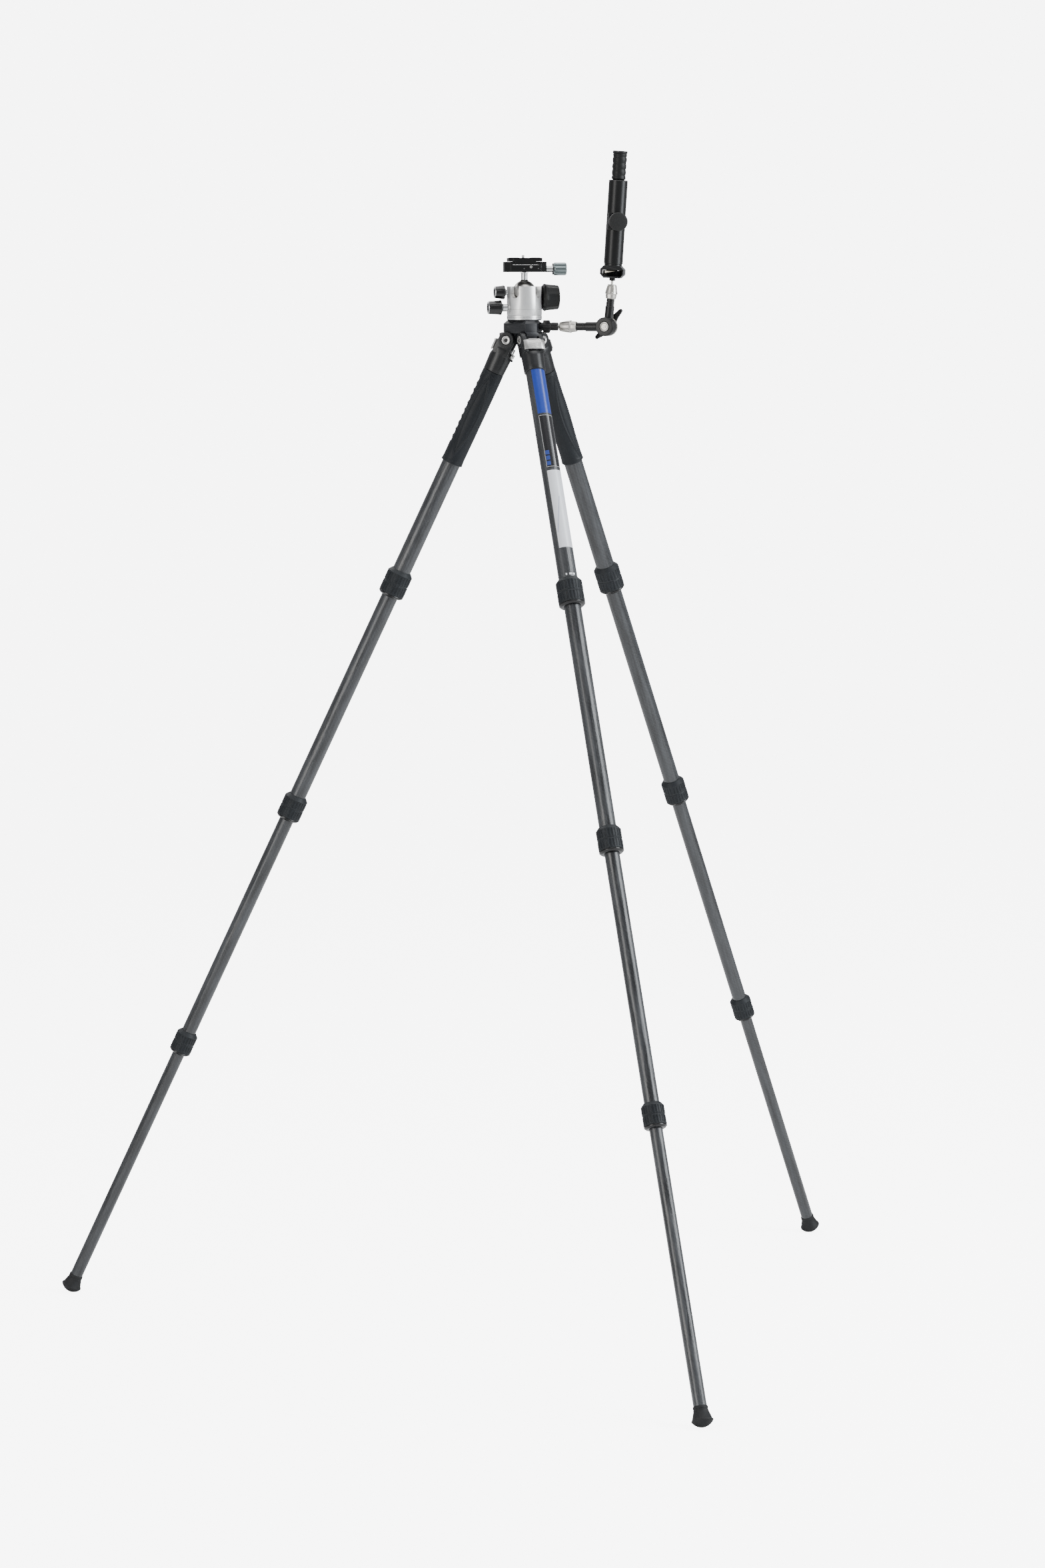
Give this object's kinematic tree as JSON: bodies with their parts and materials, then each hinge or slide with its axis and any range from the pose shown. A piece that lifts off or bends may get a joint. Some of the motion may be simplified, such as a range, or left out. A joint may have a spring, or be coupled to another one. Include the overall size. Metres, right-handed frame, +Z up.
{
  "type": "camera tripod with ball head",
  "caption": "Folding travel tripod with telescoping twist-lock legs, ball head, quick-release clamp and a jointed accessory arm with a tubular holder.",
  "frame": {"origin": "middle of the footprint's bounding box, on the floor", "axes": "+Z up, -Y along the front leg, +X to the right"},
  "size_m": [1.2854, 1.1174, 1.7627],
  "materials": {
    "cast_black": "satin charcoal powder coat",
    "carbon": "satin woven carbon fibre",
    "rubber_black": "matt moulded rubber",
    "rubber_lock": "ribbed dark grey rubber",
    "steel": "brushed stainless steel",
    "silver_anodised": "bead-blasted silver anodising",
    "black_anodised": "satin black anodising",
    "teal_anodised": "grey-teal anodising",
    "cup_plastic": "plain"
  },
  "bodies": {
    "apex": {"apex_casting": "cast_black", "head_screw": "steel", "pan_base": "silver_anodised", "leg_axles": "steel", "arm_base": "black_anodised"},
    "front_leg": {"front_hinge_casting": "cast_black", "front_tube_1": "carbon"},
    "front_tab": {"front_angle_tab": "steel"},
    "front_lock_1": {"front_lock_1": "rubber_lock"},
    "front_section_2": {"front_tube_2": "carbon"},
    "front_lock_2": {"front_lock_2": "rubber_lock"},
    "front_section_3": {"front_tube_3": "carbon"},
    "front_lock_3": {"front_lock_3": "rubber_lock"},
    "front_section_4": {"front_tube_4": "carbon", "front_foot": "rubber_black"},
    "right_leg": {"right_hinge_casting": "cast_black", "right_tube_1": "carbon", "right_grip": "rubber_black"},
    "right_tab": {"right_angle_tab": "steel"},
    "right_lock_1": {"right_lock_1": "rubber_lock"},
    "right_section_2": {"right_tube_2": "carbon"},
    "right_lock_2": {"right_lock_2": "rubber_lock"},
    "right_section_3": {"right_tube_3": "carbon"},
    "right_lock_3": {"right_lock_3": "rubber_lock"},
    "right_section_4": {"right_tube_4": "carbon", "right_foot": "rubber_black"},
    "left_leg": {"left_hinge_casting": "cast_black", "left_tube_1": "carbon", "left_grip": "rubber_black"},
    "left_tab": {"left_angle_tab": "steel"},
    "left_lock_1": {"left_lock_1": "rubber_lock"},
    "left_section_2": {"left_tube_2": "carbon"},
    "left_lock_2": {"left_lock_2": "rubber_lock"},
    "left_section_3": {"left_tube_3": "carbon"},
    "left_lock_3": {"left_lock_3": "rubber_lock"},
    "left_section_4": {"left_tube_4": "carbon", "left_foot": "rubber_black"},
    "housing": {"housing": "silver_anodised", "ball_cup": "cup_plastic"},
    "main_knob": {"main_knob": "rubber_black"},
    "friction_knob": {"friction_knob": "rubber_black"},
    "pan_knob": {"pan_knob": "rubber_black"},
    "ball": {"ball": "silver_anodised"},
    "clamp": {"clamp_body": "black_anodised"},
    "jaw": {"clamp_jaw": "black_anodised"},
    "clamp_knob": {"clamp_knob": "teal_anodised"},
    "plate": {"quick_plate": "black_anodised"},
    "camera_screw": {"camera_screw": "steel"},
    "lower_collet": {"lower_collet": "silver_anodised"},
    "lower_arm": {"lower_rod": "black_anodised", "elbow_bolt": "silver_anodised"},
    "wing_lever": {"wing_lever": "black_anodised"},
    "upper_arm": {"upper_rod": "black_anodised"},
    "upper_collet": {"upper_collet": "silver_anodised"},
    "holder": {"end_ball": "silver_anodised", "holder_block": "black_anodised", "holder_strip": "silver_anodised", "holder_tube": "black_anodised"},
    "holder_knob": {"holder_knob": "black_anodised"},
    "holder_grip": {"holder_grip": "rubber_black"}
  },
  "joints": [
    {"name": "front_leg_spread", "type": "hinge", "parent": "apex", "child": "front_leg", "pos_m": [0, 0.15586, 1.483], "axis": [-1, 0, 0], "range_deg": [-25.43, 0]},
    {"name": "front_tab_pull", "type": "slide", "parent": "front_leg", "child": "front_tab", "axis": [0, -0.9031, 0.4294], "range_m": [0, 0.005], "stiffness_N_per_m": 400},
    {"name": "front_lock_1_twist", "type": "hinge", "parent": "front_leg", "child": "front_lock_1", "pos_m": [0, -0.01814, 1.11706], "axis": [0, 0.4294, 0.9031], "range_deg": [0, 150]},
    {"name": "front_slide_2", "type": "slide", "parent": "front_leg", "child": "front_section_2", "axis": [0, 0.4294, 0.9031], "range_m": [0, 0.335]},
    {"name": "front_lock_2_twist", "type": "hinge", "parent": "front_section_2", "child": "front_lock_2", "pos_m": [0, -0.18213, 0.77216], "axis": [0, 0.4294, 0.9031], "range_deg": [0, 150]},
    {"name": "front_slide_3", "type": "slide", "parent": "front_section_2", "child": "front_section_3", "axis": [0, 0.4294, 0.9031], "range_m": [0, 0.367]},
    {"name": "front_lock_3_twist", "type": "hinge", "parent": "front_section_3", "child": "front_lock_3", "pos_m": [0, -0.35789, 0.40252], "axis": [0, 0.4294, 0.9031], "range_deg": [0, 150]},
    {"name": "front_slide_4", "type": "slide", "parent": "front_section_3", "child": "front_section_4", "axis": [0, 0.4294, 0.9031], "range_m": [0, 0.394]},
    {"name": "right_leg_spread", "type": "hinge", "parent": "apex", "child": "right_leg", "pos_m": [0.02156, 0.19321, 1.483], "axis": [0.5, -0.866, 0], "range_deg": [-25.43, 0]},
    {"name": "right_tab_pull", "type": "slide", "parent": "right_leg", "child": "right_tab", "axis": [0.7821, 0.4516, 0.4294], "range_m": [0, 0.005], "stiffness_N_per_m": 400},
    {"name": "right_lock_1_twist", "type": "hinge", "parent": "right_leg", "child": "right_lock_1", "pos_m": [0.17225, 0.2802, 1.11706], "axis": [-0.3719, -0.2147, 0.9031], "range_deg": [0, 150]},
    {"name": "right_slide_2", "type": "slide", "parent": "right_leg", "child": "right_section_2", "axis": [-0.3719, -0.2147, 0.9031], "range_m": [0, 0.335]},
    {"name": "right_lock_2_twist", "type": "hinge", "parent": "right_section_2", "child": "right_lock_2", "pos_m": [0.31427, 0.3622, 0.77216], "axis": [-0.3719, -0.2147, 0.9031], "range_deg": [0, 150]},
    {"name": "right_slide_3", "type": "slide", "parent": "right_section_2", "child": "right_section_3", "axis": [-0.3719, -0.2147, 0.9031], "range_m": [0, 0.367]},
    {"name": "right_lock_3_twist", "type": "hinge", "parent": "right_section_3", "child": "right_lock_3", "pos_m": [0.46648, 0.45008, 0.40252], "axis": [-0.3719, -0.2147, 0.9031], "range_deg": [0, 150]},
    {"name": "right_slide_4", "type": "slide", "parent": "right_section_3", "child": "right_section_4", "axis": [-0.3719, -0.2147, 0.9031], "range_m": [0, 0.394]},
    {"name": "left_leg_spread", "type": "hinge", "parent": "apex", "child": "left_leg", "pos_m": [-0.02156, 0.19321, 1.483], "axis": [0.5, 0.866, 0], "range_deg": [-25.43, 0]},
    {"name": "left_tab_pull", "type": "slide", "parent": "left_leg", "child": "left_tab", "axis": [-0.7821, 0.4516, 0.4294], "range_m": [0, 0.005], "stiffness_N_per_m": 400},
    {"name": "left_lock_1_twist", "type": "hinge", "parent": "left_leg", "child": "left_lock_1", "pos_m": [-0.17225, 0.2802, 1.11706], "axis": [0.3719, -0.2147, 0.9031], "range_deg": [0, 150]},
    {"name": "left_slide_2", "type": "slide", "parent": "left_leg", "child": "left_section_2", "axis": [0.3719, -0.2147, 0.9031], "range_m": [0, 0.335]},
    {"name": "left_lock_2_twist", "type": "hinge", "parent": "left_section_2", "child": "left_lock_2", "pos_m": [-0.31427, 0.3622, 0.77216], "axis": [0.3719, -0.2147, 0.9031], "range_deg": [0, 150]},
    {"name": "left_slide_3", "type": "slide", "parent": "left_section_2", "child": "left_section_3", "axis": [0.3719, -0.2147, 0.9031], "range_m": [0, 0.367]},
    {"name": "left_lock_3_twist", "type": "hinge", "parent": "left_section_3", "child": "left_lock_3", "pos_m": [-0.46648, 0.45008, 0.40252], "axis": [0.3719, -0.2147, 0.9031], "range_deg": [0, 150]},
    {"name": "left_slide_4", "type": "slide", "parent": "left_section_3", "child": "left_section_4", "axis": [0.3719, -0.2147, 0.9031], "range_m": [0, 0.394]},
    {"name": "pan", "type": "hinge", "parent": "apex", "child": "housing", "pos_m": [0, 0.18076, 1.52], "axis": [0, 0, 1], "continuous": true},
    {"name": "main_knob_turn", "type": "hinge", "parent": "housing", "child": "main_knob", "pos_m": [0.03961, 0.17519, 1.5464], "axis": [0.9903, -0.1392, 0], "range_deg": [0, 270]},
    {"name": "friction_knob_turn", "type": "hinge", "parent": "housing", "child": "friction_knob", "pos_m": [-0.03763, 0.18605, 1.5541], "axis": [-0.9903, 0.1392, 0], "range_deg": [0, 180]},
    {"name": "pan_knob_turn", "type": "hinge", "parent": "housing", "child": "pan_knob", "pos_m": [-0.04456, 0.18702, 1.5313], "axis": [-0.9903, 0.1392, 0], "range_deg": [0, 180]},
    {"name": "ball_tilt", "type": "hinge", "parent": "housing", "child": "ball", "pos_m": [0, 0.18076, 1.5547], "axis": [0.9903, -0.1392, 0], "range_deg": [-38, 38]},
    {"name": "clamp_swivel", "type": "hinge", "parent": "ball", "child": "clamp", "pos_m": [0, 0.18076, 1.584], "axis": [0, 0, 1], "continuous": true},
    {"name": "clamp_knob_turn", "type": "hinge", "parent": "jaw", "child": "clamp_knob", "pos_m": [0.05056, 0.16862, 1.5885], "axis": [0.9724, -0.2334, 0], "range_deg": [0, 720]},
    {"name": "jaw_slide", "type": "slide", "parent": "clamp", "child": "jaw", "axis": [0.9724, -0.2334, 0], "range_m": [0, 0.0025]},
    {"name": "plate_slide", "type": "slide", "parent": "clamp", "child": "plate", "axis": [0.2334, 0.9724, 0], "range_m": [-0.015, 0.015]},
    {"name": "camera_screw_turn", "type": "hinge", "parent": "plate", "child": "camera_screw", "pos_m": [0, 0.18076, 1.598], "axis": [0, 0, 1], "continuous": true},
    {"name": "arm_swing", "type": "hinge", "parent": "apex", "child": "lower_collet", "pos_m": [0.05369, 0.14976, 1.503], "axis": [0, 0, 1], "range_deg": [-9, 28]},
    {"name": "arm_roll", "type": "hinge", "parent": "lower_collet", "child": "lower_arm", "pos_m": [0.05369, 0.14976, 1.503], "axis": [0.7716, -0.6361, 0], "continuous": true},
    {"name": "elbow", "type": "hinge", "parent": "lower_arm", "child": "upper_arm", "pos_m": [0.10625, 0.11227, 1.503], "axis": [0.6361, 0.7716, 0], "range_deg": [-30, 110]},
    {"name": "wing_lever_turn", "type": "hinge", "parent": "lower_arm", "child": "wing_lever", "pos_m": [0.10625, 0.11227, 1.503], "axis": [0.6361, 0.7716, 0], "range_deg": [0, 270]},
    {"name": "upper_arm_roll", "type": "hinge", "parent": "upper_arm", "child": "upper_collet", "pos_m": [0.11349, 0.11213, 1.557], "axis": [0.0807, -0.0665, 0.9945], "continuous": true},
    {"name": "holder_tilt", "type": "hinge", "parent": "upper_collet", "child": "holder", "pos_m": [0.11349, 0.11213, 1.557], "axis": [0.6361, 0.7716, 0], "range_deg": [-14, 18]},
    {"name": "holder_knob_turn", "type": "hinge", "parent": "holder", "child": "holder_knob", "pos_m": [0.11468, 0.08826, 1.65766], "axis": [-0.2002, -0.9793, -0.0311], "range_deg": [0, 270]},
    {"name": "grip_slide", "type": "slide", "parent": "holder", "child": "holder_grip", "axis": [0.0511, -0.0422, 0.9978], "range_m": [-0.03, 0.02]}
  ],
  "couplings": [
    {"joint": "clamp_knob_turn", "follows": "jaw_slide", "rad_per_m": 5026.5}
  ]
}
